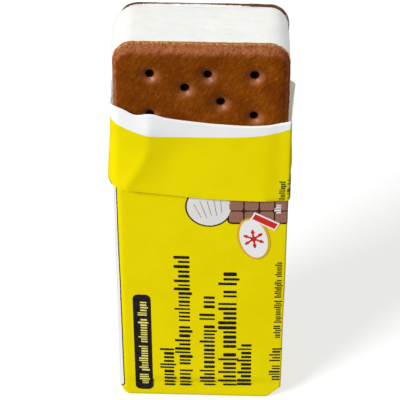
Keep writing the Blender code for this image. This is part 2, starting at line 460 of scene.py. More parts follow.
def give_thickness(piece, thickness, inner_material=0):
    """Gives a skin its thickness, half to each side, as part of its mesh."""
    thick = piece.modifiers.new("paper", "SOLIDIFY")
    thick.thickness = thickness
    thick.offset = 0.0
    thick.material_offset = inner_material
    thick.material_offset_rim = inner_material
    mesh = evaluated_mesh(piece)
    piece.modifiers.clear()
    old = piece.data
    piece.data = mesh
    bpy.data.meshes.remove(old)


# ---------------------------------------------------------------- wafers

def hole_places():
    """(x, distance below the top end) of each docking hole."""
    places = []
    for row in range(HOLE_ROWS):
        down = HOLE_FIRST_ROW + row * HOLE_ROW_PITCH
        if row % HOLE_OUTER_EVERY == 0:
            places += [(x, down) for x in HOLE_OUTER_X]
        inner = HOLE_INNER_X[row % len(HOLE_INNER_X)]
        if inner is not None:
            places.append((inner, down))
    return places


def rounded_corner(x, z):
    """Moves a point of the wafer's square grid so that the outline gets quarter circles."""
    over_x = (abs(x) - WAFER_HALF_X + WAFER_CORNER) / WAFER_CORNER
    over_z = (abs(z) - WAFER_HALF_Z + WAFER_CORNER) / WAFER_CORNER
    if over_x <= 0 or over_z <= 0:
        return x, z
    new_x = WAFER_HALF_X - WAFER_CORNER + WAFER_CORNER * over_x * math.sqrt(1 - over_z**2 / 2)
    new_z = WAFER_HALF_Z - WAFER_CORNER + WAFER_CORNER * over_z * math.sqrt(1 - over_x**2 / 2)
    return math.copysign(new_x, x), math.copysign(new_z, z)


def inside_outline(x, z):
    """How far inside the wafer's outline a point lies, and the way out at the nearest edge."""
    over_x = abs(x) - WAFER_HALF_X + WAFER_CORNER
    over_z = abs(z) - WAFER_HALF_Z + WAFER_CORNER
    if over_x > 0 and over_z > 0:
        reach = math.hypot(over_x, over_z)
        away = Vector((over_x, over_z)) / reach
    elif over_x > over_z:
        reach = over_x
        away = Vector((1.0, 0.0))
    else:
        reach = over_z
        away = Vector((0.0, 1.0))
    away = Vector((math.copysign(away.x, x), math.copysign(away.y, z)))
    return WAFER_CORNER - reach, away


def column_places():
    """Places across the wafer, closer together towards both edges."""
    places = []
    for number in range(WAFER_COLUMNS + 1):
        share = 2 * number / WAFER_COLUMNS - 1
        places.append(WAFER_HALF_X * (0.35 * share + 0.65 * math.sin(share * math.pi / 2)))
    return places


def row_places():
    """Distances down from the top end: fine over what shows, coarse below, fine at the bottom."""
    length = 2 * WAFER_HALF_Z
    rows = [0.0]
    step = ROW_FIRST
    while rows[-1] < length - BOTTOM_LENGTH:
        rows.append(rows[-1] + step)
        step = min(step * ROW_GROWTH, ROW_SHOWN if rows[-1] < SHOWN_LENGTH else ROW_HIDDEN)
    rest = length - rows[-1]
    return rows + [length - rest * (1 - share) for share in BOTTOM_ROWS]


def edge_drop(inside):
    """How far the outer face falls back towards the edge: a round edge and a wide, soft pillow."""
    drop = WAFER_PILLOW * max(0.0, 1 - inside / WAFER_PILLOW_REACH) ** 2
    if inside < WAFER_EDGE:
        drop += WAFER_EDGE * (1 - math.sqrt(max(0.0, 1 - (1 - inside / WAFER_EDGE) ** 2)))
    return drop


def wafer_plate():
    """A wafer round the origin with its outer face towards -Y, before its holes and its crumb."""
    columns = column_places()
    rows = row_places()
    steps_x, steps_z = len(columns) - 1, len(rows) - 1
    bm = bmesh.new()
    bmesh.ops.create_grid(bm, x_segments=steps_x, y_segments=steps_z, size=1.0)
    for vert in bm.verts:
        column = round((vert.co.x + 1) / 2 * steps_x)
        row = round((1 - vert.co.y) / 2 * steps_z)
        x, z = rounded_corner(columns[column], WAFER_HALF_Z - rows[row])
        inside = max(0.0, inside_outline(x, z)[0])
        vert.co = Vector((x, FACE_Y + edge_drop(inside), z))
    rim = [edge for edge in bm.edges if edge.is_boundary]
    edge_y = FACE_Y + edge_drop(0.0)
    for depth, inset in WAFER_SIDE:
        verts, rim = extruded(bm, rim)
        for vert in verts:
            inside, away = inside_outline(vert.co.x, vert.co.z)
            pull = inset * MM - inside
            vert.co = Vector((
                vert.co.x - away.x * pull,
                edge_y + depth * (WAFER_THICK - edge_drop(0.0)) / SIDE_DEPTH,
                vert.co.z - away.y * pull,
            ))
    bmesh.ops.contextual_create(bm, geom=rim)
    bmesh.ops.recalc_face_normals(bm, faces=bm.faces)
    return bm


def hole_pins():
    """The pins that press the docking holes: each has a flared neck and a round tip."""
    bm = bmesh.new()
    for x, down in hole_places():
        centre = Vector((x, 0.0, WAFER_HALF_Z - down))
        lean = Vector((lumps(centre, 7 * MM, 3.0), 0.0, lumps(centre, 7 * MM, 5.0))) * 0.12 * MM
        radius = HOLE_RADIUS * (1 + 0.10 * lumps(centre, 5 * MM, 8.0))
        middle = centre + lean
        made = bmesh.ops.create_circle(bm, cap_ends=False, segments=20, radius=radius)
        ring = made["verts"]
        upright = Matrix.Rotation(math.radians(90), 3, "X")
        bmesh.ops.rotate(bm, verts=ring, cent=(0, 0, 0), matrix=upright)
        bmesh.ops.translate(bm, verts=ring, vec=middle + Vector((0, FACE_Y - 0.6 * MM, 0)))
        edges = list({edge for vert in ring for edge in vert.link_edges})
        bmesh.ops.contextual_create(bm, geom=edges)
        for share, height in PIN:
            verts, edges = extruded(bm, edges)
            depth = FACE_Y + HOLE_DEPTH * height / PIN_HEIGHT
            for vert in verts:
                spoke = Vector((vert.co.x - middle.x, 0.0, vert.co.z - middle.z)).normalized()
                width = radius * max(share, 0.02)
                vert.co = middle + spoke * width + Vector((0, depth, 0))
        bmesh.ops.contextual_create(bm, geom=edges)
    bmesh.ops.recalc_face_normals(bm, faces=bm.faces)
    return new_object("hole_pins", bm)


def pierced_plate():
    """The wafer plate's mesh with its docking holes cut."""
    plate = new_object("plate", wafer_plate())
    pins = hole_pins()
    cut = plate.modifiers.new("docking_holes", "BOOLEAN")
    cut.operation = "DIFFERENCE"
    cut.solver = "EXACT"
    cut.object = pins
    pierced = evaluated_mesh(plate)
    bpy.data.objects.remove(plate)
    bpy.data.objects.remove(pins)
    return pierced


def bake_wafer(bm, seed):
    """Gives the plate its baked surface, and paints where its edge, its wall and its holes are.

    A hole's lip is weighted to its lower right, the slope that faces the light, for a painted
    highlight and more coat there.
    """
    names = ("edge", "wall", "pit", "lip")
    layers = [bm.verts.layers.float.new(name) for name in names]
    holes = [Vector((x, 0.0, WAFER_HALF_Z - down)) for x, down in hole_places()]
    for vert in bm.verts:
        place = vert.co.copy()
        inside, away = inside_outline(place.x, place.z)
        depth = place.y - FACE_Y
        flat = Vector((place.x, 0.0, place.z))
        near = min(holes, key=lambda hole: (hole - flat).length_squared)
        reach = (near - flat).length

        dimple = DIMPLE_DEPTH * bell(reach, DIMPLE_REACH) * (1 - ease(depth, 1.5 * MM, 2.2 * MM))
        outer = 1 - ease(depth, 0.6 * MM, 1.8 * MM)
        vert.co.y += dimple - uneven(place, WAFER_WAVES, seed) * MM * outer

        wall = ease(depth, 0.7 * MM, 1.5 * MM) * (1 - ease(inside, 0.3 * MM, 0.9 * MM))
        chip = max(0.0, lumps(place, 1.7 * MM, seed + 12) - 0.25) * 0.5
        shift = (uneven(place, WAFER_OUTLINE, seed) - chip * wall) * MM
        shift *= 0.35 * (1 - ease(inside, 0.0, 2.4 * MM)) + 0.65 * wall
        vert.co.x += away.x * shift
        vert.co.z += away.y * shift

        # The edge band is wider along the top edge, which faces the light, because there it is
        # partly a painted highlight.
        edge = 1 - ease(inside, 0.2 * MM, (1.7 + 2.9 * max(0.0, away.y)) * MM)
        inner = 1 - ease(reach, HOLE_RADIUS * 0.95, HOLE_RADIUS * 1.12)
        # Marks the insides of the holes, which the material paints nearly black as painted shade.
        pit = inner * ease(depth, 0.1 * MM, 0.7 * MM)
        spoke = (flat - near).normalized() if reach > 0 else flat
        lit_lower_right = 0.25 + 0.75 * ease(spoke.x - spoke.z, -0.2, 1.1)
        lip = lit_lower_right * bell(reach - LIP_REACH, LIP_WIDTH)
        for layer, value in zip(layers, (edge, wall, pit, lip)):
            vert[layer] = value


def make_wafer(name, plate, faces_back, material, seed):
    """One wafer in its place. The back one is the plate turned round to face +Y."""
    low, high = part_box(name)
    bm = bmesh.new()
    bm.from_mesh(plate)
    bake_wafer(bm, seed)
    if faces_back:
        half_turn = Matrix.Rotation(math.pi, 3, "Z")
        bmesh.ops.rotate(bm, verts=bm.verts, cent=(0, 0, 0), matrix=half_turn)
    bmesh.ops.translate(bm, verts=bm.verts, vec=(low + high) / 2)
    piece = finish_piece("baked_" + name, bm, [material], 50.0)
    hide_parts(name)


# ---------------------------------------------------------------- ice cream

def outline_places(half_x, half_z):
    """Places round the slab's outline, as (place, way out), close together where it shows."""
    places = []
    for number, (side_x, side_z) in enumerate(((1, 1), (-1, 1), (-1, -1), (1, -1))):
        steps = 16 if side_z > 0 else 6
        centre = Vector((side_x * (half_x - WAFER_CORNER), side_z * (half_z - WAFER_CORNER)))
        for step in range(steps):
            angle = math.pi / 2 * (number + step / steps)
            away = Vector((math.cos(angle), math.sin(angle)))
            places.append((centre + away * WAFER_CORNER, away))
        away = flat_turn(number + 1)
        start = centre + WAFER_CORNER * away
        run = 2 * ((half_x if number % 2 == 0 else half_z) - WAFER_CORNER)
        done = 0.0
        while done < run - 0.3 * MM:
            place = start + flat_turn(number + 2) * done
            places.append((place, away))
            done += 0.55 * MM if place.y > half_z - SHOWN_LENGTH else 2.5 * MM
    return places


def make_ice_cream(material):
    """The slab, as a skin from the front wafer to the back one, with uneven frozen sides."""
    half_x = (SLAB_HIGH.x - SLAB_LOW.x) / 2 - SLAB_INSET
    half_z = WAFER_HALF_Z - 0.1 * MM
    middle = (WAFER_LOW + WAFER_HIGH) / 2
    rise = BACK_HIGH.z - WAFER_HIGH.z
    front = WAFER_HIGH.y + 0.02 * MM
    back = BACK_LOW.y - 0.02 * MM
    outline = outline_places(half_x, half_z)
    bm = bmesh.new()
    rim_layer = bm.verts.layers.float.new("rim")
    bmesh.ops.create_circle(bm, cap_ends=True, segments=len(outline), radius=1.0)
    bm.verts.ensure_lookup_table()
    ring = list(bm.verts)
    edges = list(bm.edges)
    for number in range(SLAB_RINGS + 1):
        if number:
            ring, edges = next_ring(bm, ring, edges)
        spread = 0.55 + 0.45 * abs(1 - number / (SLAB_RINGS / 2))
        share = 0.5 - 0.5 * math.cos(math.pi * number / SLAB_RINGS) * spread
        y = front + (back - front) * share
        up = rise * ease(share, 0.1, 0.95)
        for vert, (place, away) in zip(ring, outline):
            co = place + away * slab_relief(Vector((place.x, y, place.y)), share, away)
            vert.co = Vector((co.x + middle.x, y, co.y + middle.z + up))
            vert[rim_layer] = 1 - ease(share, 0.008, 0.03)
    bmesh.ops.contextual_create(bm, geom=edges)
    bmesh.ops.recalc_face_normals(bm, faces=bm.faces)
    piece = finish_piece("vanilla_slab", bm, [material], 60.0)
    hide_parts("ice_cream")


def slab_relief(spot, share, away):
    """How far the frozen side stands out: a swell, drag lines along the length, and small lumps."""
    swell = 0.28 * math.sin(math.pi * share) ** 0.5
    bare = ease(spot.z, SLAB_BARE_FROM, SLAB_BARE_TO)
    left = 0.7 * math.sin(math.pi * share) ** 0.3 + 1.15 * bare * share**1.5
    left *= max(0.0, -away.x) * (1 - 0.75 * share * max(0.0, away.y))
    broad = 0.22 * lumps(spot, 9 * MM, 21.0)
    drag = 0.05 * lumps(Vector((spot.x, spot.y * 5, spot.z)), 6 * MM, 23.0)
    small = 0.05 * lumps(spot, 2.2 * MM, 25.0)
    tight = 1 - 0.6 * ease(abs(share - 0.5), 0.42, 0.5)
    return (swell + left + (broad + drag) * tight + small - 0.12) * MM


# ---------------------------------------------------------------- paper

class Section:
    """The sleeve's level cross-section: four straight sides joined by round corners.

    Lengths along it start at the middle of the front and grow to the right, then round the back.
    """

    def __init__(self, half_x, half_y, radii):
        self.runs = []
        corners = ((1, -1), (1, 1), (-1, 1), (-1, -1))
        start = Vector((0.0, -half_y))
        for number, ((side_x, side_y), radius) in enumerate(zip(corners, radii)):
            centre = Vector((side_x * (half_x - radius), side_y * (half_y - radius)))
            away = flat_turn(number - 1)
            end = centre + away * radius
            self.runs.append(("side", start, (end - start).length, away))
            self.runs.append(("corner", centre, radius * math.pi / 2, (number - 1, radius)))
            start = centre + flat_turn(number) * radius
        last = (Vector((0.0, -half_y)) - start).length
        self.runs.append(("side", start, last, flat_turn(3)))
        self.length = sum(run[2] for run in self.runs)

    def at(self, along):
        """The point and the way out at a length along the section."""
        left = along % self.length
        for kind, place, length, detail in self.runs:
            if left <= length:
                break
            left -= length
        if kind == "side":
            heading = Vector((-detail.y, detail.x))
            return place + heading * left, detail
        first, radius = detail
        angle = math.pi / 2 * first + left / radius
        away = Vector((math.cos(angle), math.sin(angle)))
        return place + away * radius, away

    def samples(self, spacing, corner_steps, extra):
        """Lengths from the middle of the back, round the front, to the middle of the back again."""
        found = []
        start = 0.0
        for kind, _, length, _ in self.runs:
            steps = corner_steps if kind == "corner" else max(1, round(length / spacing))
            found += [start + length * step / steps for step in range(steps)]
            start += length
        half = self.length / 2
        found = [s - self.length if s >= half else s for s in found]
        return sorted({*found, -half, *extra})


SECTION = Section(SLEEVE_X, SLEEVE_Y, SLEEVE_CORNERS)
LAP_ALONG = -(SECTION.length / 2) - LAP_PLACE


def tuck_pull(x, height):
    """How far a side stands in over the straight tuck at the sandwich's lower corner."""
    across, up = TUCK_RIGHT if x > 0 else TUCK_LEFT
    return across * max(0.0, 1 - height / up) * x / SLEEVE_X


def round_pull(y, height):
    """How far the front and the back stand in over the base's round edge."""
    if height >= BASE_ROUND:
        return 0.0
    pull = BASE_ROUND - math.sqrt(max(0.0, BASE_ROUND**2 - (BASE_ROUND - height) ** 2))
    return pull * y / SLEEVE_Y


def sheet_point(point, away, z, off):
    """The place that far off the section's point, on top of the folded end's layers."""
    return Vector((
        point.x - tuck_pull(point.x, z) + away.x * off,
        point.y - round_pull(point.y, z) + away.y * off,
        z + PAPER / 2 + END_LAYERS * (1 - ease(z, 0.0, END_LAYERS_TOP)),
    ))


def depth_share(y):
    """0 at the front of the sleeve and 1 at its back."""
    return min(1.0, max(0.0, (y + SLEEVE_Y) / (2 * SLEEVE_Y)))


def fold_height(point):
    """The cuff's lower fold: it slants down to the right in front and rises round the sides."""
    back = depth_share(point.y)
    front_z = FOLD_Z + FOLD_SLOPE * point.x + FOLD_CURVE * point.x**2
    rise = FOLD_SIDE_RISE * math.sin(math.pi * back) ** 0.6
    return front_z * (1 - back) + FOLD_BACK_Z * back + rise


def rim_height(point):
    """The mouth's edge: a wide curve with a small nick in front, and nearly level behind."""
    back = depth_share(point.y)
    left = max(0.0, RIM_LOW_X - point.x)
    right = max(0.0, point.x - RIM_LOW_X)
    front_z = RIM_LOW_Z + RIM_SLOPE_LEFT * left + RIM_CURVE_LEFT * (left / SLEEVE_X) ** 2
    front_z += RIM_CURVE_RIGHT * (right / SLEEVE_X) ** 2
    nick = NICK_EAR_RISE * bell(point.x - NICK_EAR_X, 2.4 * MM)
    nick -= NICK_DEPTH * bell(point.x - NICK_X, 2.6 * MM)
    ragged = 0.12 * lumps(Vector((point.x, point.y, 0.0)), 5 * MM, 31.0)
    return front_z * (1 - back) + RIM_BACK_Z * back + (nick * (1 - back) + ragged) * MM


def margin_height(point):
    """The margin's lower edge: it rises to both front corners, and follows the rim behind them."""
    rise = MARGIN_RIGHT if point.x > 0 else MARGIN_LEFT
    front_z = MARGIN_Z + rise * min(1.04, abs(point.x) / MARGIN_REACH) ** 3.8
    behind = ease(depth_share(point.y), 0.0, 0.3)
    return front_z * (1 - behind) + (rim_height(point) - MARGIN_WIDTH) * behind


def cuff_looseness(point, share):
    """How much further the cuff stands off low at the front left, and at both back corners."""
    back = depth_share(point.y)
    corner = abs(point.x / SLEEVE_X) ** 5
    if point.x < 0:
        at_front = LOOSE_FRONT_LEFT * corner * bell(share - 0.2, 0.34)
        loosest = LOOSE_BACK_LEFT
        belly = 0.45 + 0.7 * math.sin(math.pi * (0.1 + 0.62 * share))
    else:
        at_front = 0.0
        loosest = LOOSE_BACK_RIGHT
        belly = 1.1 * share**1.2
    at_back = LOOSE_BACK + corner * (loosest - LOOSE_BACK)
    return at_front * (1 - back) + at_back * back**1.4 * belly


def sleeve_relief(point, z):
    """Soft unevenness that all layers of the paper share at one place."""
    fade = ease(z, 1.5 * MM, 9 * MM)
    soft = uneven(Vector((point.x, point.y, z)), SLEEVE_WAVES)
    beside = abs(point.x) > SLEEVE_X - 0.1 * MM
    on_side = 1 - ease(abs(point.y), 0.0, SLEEVE_Y) if beside else 0.0
    slack = SLEEVE_SLACK * (1 - (point.x / SLEEVE_X) ** 2) * (1 - on_side)
    return (max(-0.16, soft) + slack) * MM * fade


def cuff_relief(point, z, share):
    """What only the cuff has: a slanting ridge at its front left, and a crease at its right."""
    front = 1 - ease(depth_share(point.y), 0.02, 0.25)
    x, up = point.x / MM, z / MM
    drop = max(0.0, RIDGE_TOP[1] - up)
    ridge_x = max(RIDGE_LEFTMOST, RIDGE_TOP[0] - RIDGE_SLANT * drop - RIDGE_BEND * drop**2)
    past = x - ridge_x
    if past < 0:
        flank = max(0.0, 1 + past / (ridge_x - RIDGE_FOOT))
    else:
        flank = math.exp(-past / RIDGE_FADE)
    grown, worn = 0.85 + 0.15 * ease(share, 0.0, 0.4), 1 - 0.5 * ease(share, 0.75, 1.0)
    ridge = RIDGE_HEIGHT * flank * grown * worn
    hollow = -HOLLOW_DEPTH * bell(past - HOLLOW_PAST, 8.0) * bell(share - 0.58, 0.28)
    crease = -CREASE_DEPTH * bell(x - CREASE_X, 1.8)
    broad = 0.10 * lumps(Vector((point.x, point.y, z)), 11 * MM, 47.0) * ease(share, 0.0, 0.25)
    return ((ridge + hollow + crease * ease(share, 0.05, 0.3)) * front + broad) * MM


def lap_rise(along):
    """The step where one edge of the sheet is stuck over the other, on the back."""
    past = (along - LAP_ALONG) % SECTION.length
    if past > SECTION.length / 2:
        past -= SECTION.length
    rise = LAP_STEP * ease(past, -LAP_EDGE, LAP_EDGE)
    return rise * (1 - ease(past, LAP_WIDTH, LAP_WIDTH + LAP_FADE))


def sleeve_place(along, z, lift):
    """A place on the sleeve's outer side, lift metres off the paper."""
    point, away = SECTION.at(along)
    off = sleeve_relief(point, z) + lap_rise(along) + PAPER / 2 + lift
    return sheet_point(point, away, z, off)


def fold_out(point):
    """How far the fold stands off: least at the front right, where the paper is pulled tight."""
    tight = ease(point.x, 17 * MM, 24 * MM) * (1 - ease(depth_share(point.y), 0.2, 0.6))
    return CUFF_OUT_FOLD + (CUFF_OUT_RIGHT - CUFF_OUT_FOLD) * tight


def cuff_stand_off(point, share):
    """The cuff's distance from the sleeve: it leans in from its fold at 0 and stands up to 1."""
    lean = math.exp(-((share / CUFF_LEAN) ** 1.15))
    return CUFF_OUT_RIM + (fold_out(point) - CUFF_OUT_RIM) * lean + cuff_looseness(point, share)


def cuff_off(point, z, share):
    """The cuff's distance from the section, with its own relief and the sleeve's."""
    return cuff_stand_off(point, share) + cuff_relief(point, z, share) + sleeve_relief(point, z)


def cuff_place(along, z, lift):
    """A place on the cuff's outer side, lift metres off the paper."""
    point, away = SECTION.at(along)
    low, high = fold_height(point), rim_height(point)
    off = cuff_off(point, z, (z - low) / (high - low))
    off += lap_rise(along) + PAPER / 2 + lift
    return Vector((point.x + away.x * off, point.y + away.y * off, z))


def low_level(_, height):
    return height, 0.0, height


def climb(point, share):
    z = BASE_TOP + (fold_height(point) + FOLD_OVERLAP - BASE_TOP) * share
    return z, sleeve_relief(point, z), z


def inner_pleat(point, rise, share, part):
    """The layer between sleeve and cuff, from the upper turn at share 0 down to the lower one."""
    z = fold_height(point) + rise
    return z, PLEAT_OUT * share + sleeve_relief(point, z), z + CUFF_SHEET_SHIFT * part


def outer_pleat(point, rise, share):
    """The lower turn, from the inner layer at share 0 out to the cuff at 1."""
    z = fold_height(point) + rise
    far = cuff_stand_off(point, 0.0) + cuff_relief(point, z, 0.0)
    off = PLEAT_OUT + (far - PLEAT_OUT) * share + sleeve_relief(point, z)
    return z, off, z + CUFF_SHEET_SHIFT * 0.9


def cuff_level(point, share):
    low = fold_height(point)
    z = low + (rim_height(point) - low) * share
    return z, cuff_off(point, z, share), z + CUFF_SHEET_SHIFT


def paper_levels():
    """The sheet from the base to the rim, as functions with the values they take after the point.

    Each function gives the level's (height, stand-off, height on the flat sheet) at that point.
    """
    for turn in (0, 22, 45, 67, 90):
        yield low_level, BASE_ROUND * (1 - math.cos(math.radians(turn)))
    for height in (1.5, 2.0, 2.5, 3.0, 3.8, 4.6, 5.4):
        yield low_level, height * MM
    yield low_level, BASE_TOP
    for step in range(1, SLEEVE_STEPS + 1):
        yield climb, step / SLEEVE_STEPS
    for rise, out in ((0.12, 0.12), (0.2, 0.47), (0.12, 0.82), (0.0, 1.0)):
        yield inner_pleat, FOLD_OVERLAP + rise * MM, out, 0.5
    for rise in (2.6, 1.4, 0.6, 0.2):
        yield inner_pleat, rise * MM, 1.0, 0.7
    for rise, share in ((0.05, 0.08), (0.0, 0.3), (0.0, 0.55), (0.06, 0.8), (0.22, 0.95)):
        yield outer_pleat, rise * MM, share
    for step in range(1, CUFF_STEPS + 1):
        yield cuff_level, 0.025 + 0.975 * step / CUFF_STEPS


def make_paper(outside, inside):
    """The wrapper's sheet, drawn up from the closed base as one skin and given its thickness."""
    alongs = SECTION.samples(0.85 * MM, 9, (LAP_ALONG - LAP_EDGE, LAP_ALONG + LAP_EDGE))
    spots = [SECTION.at(along) for along in alongs]
    bm = bmesh.new()
    sheet = bm.loops.layers.uv.new("sheet")
    margin_layer = bm.verts.layers.float.new("margin")
    bmesh.ops.create_circle(bm, cap_ends=True, segments=len(alongs), radius=1.0)
    bm.verts.ensure_lookup_table()
    ring = list(bm.verts)
    edges = list(bm.edges)
    marks = {}
    for number, (level, *values) in enumerate(paper_levels()):
        if number:
            ring, edges = next_ring(bm, ring, edges)
        for vert, along, (point, away) in zip(ring, alongs, spots):
            z, off, sheet_z = level(point, *values)
            off += lap_rise(along) * ease(z, 2 * MM, 6 * MM)
            vert.co = sheet_point(point, away, z, off)
            marks[vert] = (along, sheet_z)
            vert[margin_layer] = (sheet_z - CUFF_SHEET_SHIFT - margin_height(point)) / MM
    mark_sheet(bm, sheet, marks)
    bmesh.ops.recalc_face_normals(bm, faces=bm.faces)
    piece = finish_piece("paper_wrapper", bm, [outside, inside], 35.0)
    give_thickness(piece, PAPER, inner_material=1)
    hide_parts("wrapper")


def mark_sheet(bm, sheet, marks):
    """Writes each face corner's place on the flat sheet, so that print follows the paper."""
    half = SECTION.length / 2
    for face in bm.faces:
        alongs = [marks[loop.vert][0] for loop in face.loops]
        wraps = max(alongs) - min(alongs) > half
        for loop, along in zip(face.loops, alongs):
            if wraps and along < 0:
                along += SECTION.length
            loop[sheet].uv = (along, marks[loop.vert][1])


def make_end_flaps(material):
    """The two tapering flaps that close the wrapper's lower end, the front one outermost."""
    bm = bmesh.new()
    for hinge, free, z in FLAPS:
        made = bmesh.ops.create_grid(bm, x_segments=24, y_segments=12, size=1.0)
        for vert in made["verts"]:
            share = (vert.co.y + 1) / 2
            half = FLAP_HALF * (1 - 0.4 * share)
            dent = 0.02 * lumps(vert.co * 20 * MM, 9 * MM, 51.0) * MM
            y = hinge + (free - hinge) * share
            vert.co = Vector((vert.co.x * half + FLAP_MIDDLE, y, z + dent))
    piece = finish_piece("paper_end_flaps", bm, [material], 35.0)
    give_thickness(piece, FLAP_PAPER)


# ---------------------------------------------------------------- print

def stance(middle, width, length, turn=0.0):
    """Puts a unit shape round a point of the flat sheet, turned from upright by degrees."""
    shape = Matrix.Diagonal((width, length, 1.0, 1.0))
    turned = Matrix.Rotation(math.radians(turn), 4, "Z")
    return Matrix.Translation((middle[0], middle[1], 0.5)) @ turned @ shape


class Plates:
    """Thin closed plates of one ink, drawn flat as (along, height, share of the thickness)."""

    def __init__(self, name):
        self.name = name
        self.bm = bmesh.new()

    def block(self, low, high, radius, segments):
        """A plate between two corners of the flat sheet, with round corners."""
        width, length = high[0] - low[0], high[1] - low[1]
        middle = ((low[0] + high[0]) / 2, (low[1] + high[1]) / 2)
        made = bmesh.ops.create_cube(self.bm, size=1.0, matrix=stance(middle, width, length))
        upright = []
        for edge in {edge for vert in made["verts"] for edge in vert.link_edges}:
            if abs(edge.verts[0].co.z - edge.verts[1].co.z) > 0.5:
                upright.append(edge)
        bmesh.ops.bevel(
            self.bm, geom=upright, offset=min(radius, width / 2 - 0.001, length / 2 - 0.001),
            offset_type="OFFSET", segments=segments, profile=0.5, affect="EDGES", material=-1,
            clamp_overlap=True,
        )

    def disc(self, middle, radius_x, radius_z, turn=0.0, sides=40):
        """A round or oval plate."""
        bmesh.ops.create_cone(
            self.bm, cap_ends=True, segments=sides, radius1=1.0, radius2=1.0, depth=1.0,
            matrix=stance(middle, radius_x, radius_z, turn),
        )

    def strip(self, middle, length, width, turn):
        """A straight bar through a point."""
        bmesh.ops.create_cube(self.bm, size=1.0, matrix=stance(middle, width, length, turn))

    def words(self, low, high, lengths, seed, gap=1.3):
        """A line of word-like groups of short rounded strokes that runs up the sheet."""
        chance = random.Random(seed)
        at = low[1]
        tall = high[0] - low[0]
        for length in lengths:
            end = min(at + length, high[1])
            while at < end - 0.25 * tall:
                stroke = tall * chance.uniform(*STROKE)
                rise = tall * (0.0 if chance.random() < TALL_CHANCE else SHORT_BY)
                drop = tall * (DROP_BY if chance.random() < DROP_CHANCE else 0.0)
                corners = (low[0] + rise, at), (high[0] + drop, at + stroke)
                self.block(*corners, stroke * STROKE_ROUND, 2)
                at += stroke + tall * chance.uniform(*STROKE_GAP)
            at += gap

    def lay(self, lift, ink, slant=PRINT_SLANT, bend=BEND_ACROSS, place_of=sleeve_place):
        """Cuts the plates finely enough to bend, and moves them on to the paper."""
        bm = self.bm
        for axis, spacing in ((0, bend), (1, BEND_UP)):
            normal = Vector((axis == 0, axis == 1, 0.0))
            values = [vert.co[axis] for vert in bm.verts]
            first = math.ceil(min(values) / spacing)
            for number in range(first, math.floor(max(values) / spacing) + 1):
                bmesh.ops.bisect_plane(
                    bm, geom=bm.verts[:] + bm.edges[:] + bm.faces[:], dist=1e-5,
                    plane_co=normal * number * spacing, plane_no=normal,
                )
        for vert in bm.verts:
            along, height, rise = vert.co
            along += (SLANT_MIDDLE - height) * slant
            vert.co = place_of(along * MM, height * MM, (lift + PLATE * rise) * MM)
        bmesh.ops.recalc_face_normals(bm, faces=bm.faces)
        finish_piece(self.name, bm, [ink], 30.0)


def text_lines(name, lines, lift, ink, **laid):
    """A piece made of lines of strokes only."""
    strokes = Plates(name)
    for line in lines:
        strokes.words(*line)
    strokes.lay(lift, ink, **laid)


def front_print(dark, pale):
    """The front's main print: lines of strokes and a dark tab, all reading up the pack."""
    text_lines("print_front_lines", FRONT_LINES, LAYER, dark)
    tab = Plates("print_tab")
    tab.block((-20.5, 2.5), (-15.0, 39.8), 1.7, 6)
    tab.lay(LAYER, dark)
    text_lines("print_tab_strokes", TAB_LINES, 2 * LAYER, pale)


def picture_print(outline, brown, cream, dark):
    """A plain picture that runs under the cuff: a scoop of ice cream and chocolate squares."""
    edge = Plates("print_picture_outline")
    edge.disc((2.7, 72.0), 6.9, 6.9)
    edge.block((8.0, 66.2), (26.4, 79.6), 1.4, 4)
    edge.lay(LAYER, outline, bend=BEND_CORNER)
    scoop = Plates("print_picture_scoop")
    scoop.disc((2.7, 72.0), 6.4, 6.4)
    scoop.lay(2 * LAYER, cream)
    squares = Plates("print_picture_squares")
    for column in range(4):
        for row in range(3):
            low = (8.6 + 4.45 * column, 66.8 + 4.2 * row)
            squares.block(low, (low[0] + 4.0, low[1] + 3.75), 0.7, 3)
    squares.lay(2 * LAYER, brown, bend=BEND_CORNER)
    strokes = Plates("print_picture_strokes")
    for number in range(5):
        middle = (-0.6 + 1.7 * number, 70.6 + 0.5 * number)
        strokes.strip(middle, 5.0 + 1.1 * (number % 2), 0.22, 24 - 5 * number)
    strokes.lay(3 * LAYER, dark)


def badge_print(gold, white, red):
    """An oval badge over the picture's lower edge, with a snowflake and a short ribbon."""
    rim = Plates("print_badge_rim")
    rim.disc(BADGE_MIDDLE, 4.7, 7.5, 14.0)
    rim.lay(4 * LAYER, gold)
    face = Plates("print_badge_face")
    face.disc(BADGE_MIDDLE, 4.0, 6.8, 14.0)
    face.strip(RIBBON_MIDDLE, 8.4, 2.9, 62)
    face.words((21.6, 70.0), (23.6, 73.6), (3.4,), 95)
    face.lay(5 * LAYER, white)
    flake = Plates("print_badge_snowflake")
    flake.strip(RIBBON_MIDDLE, 7.4, 1.9, 62)
    for turn in (0, 60, 120):
        flake.strip(BADGE_MIDDLE, 6.4, 0.6, turn + 8)
    flake.disc(BADGE_MIDDLE, 1.0, 1.0, sides=6)
    for turn in range(0, 360, 60):
        angle = math.radians(turn + 8)
        across, up = BADGE_MIDDLE
        tip = (across - 2.3 * math.sin(angle), up + 2.3 * math.cos(angle))
        flake.disc(tip, 0.6, 0.6, sides=6)
    flake.lay(6 * LAYER, red)


def rear_print(dark, white):
    """The back's and the right side's print: lines of strokes, and a white box of plain bars."""
    small = []
    for number in range(6):
        across = -53.8 - 2.2 * number
        lengths = (9.0, 6.5, 12.0, 7.5 + number % 3, 8.0)
        small.append(((across - 1.1, 9.0), (across, 62.0), lengths, 83 + number, 1.0))
    text_lines("print_rear_lines", (*REAR_LINES, *small), LAYER, dark, slant=0.0)
    box = Plates("print_side_box")
    box.block((30.5, 10.0), (47.5, 36.0), 0.8, 3)
    box.lay(LAYER, white, slant=0.0)
    bars = Plates("print_side_bars")
    chance = random.Random(91)
    height = 12.0
    while height < 33.6:
        width = chance.choice((0.35, 0.35, 0.7, 1.0))
        bars.block((32.2, height), (45.8, height + width), 0.02, 1)
        height += width + chance.choice((0.4, 0.6, 0.9))
    bars.lay(2 * LAYER, dark, slant=0.0)


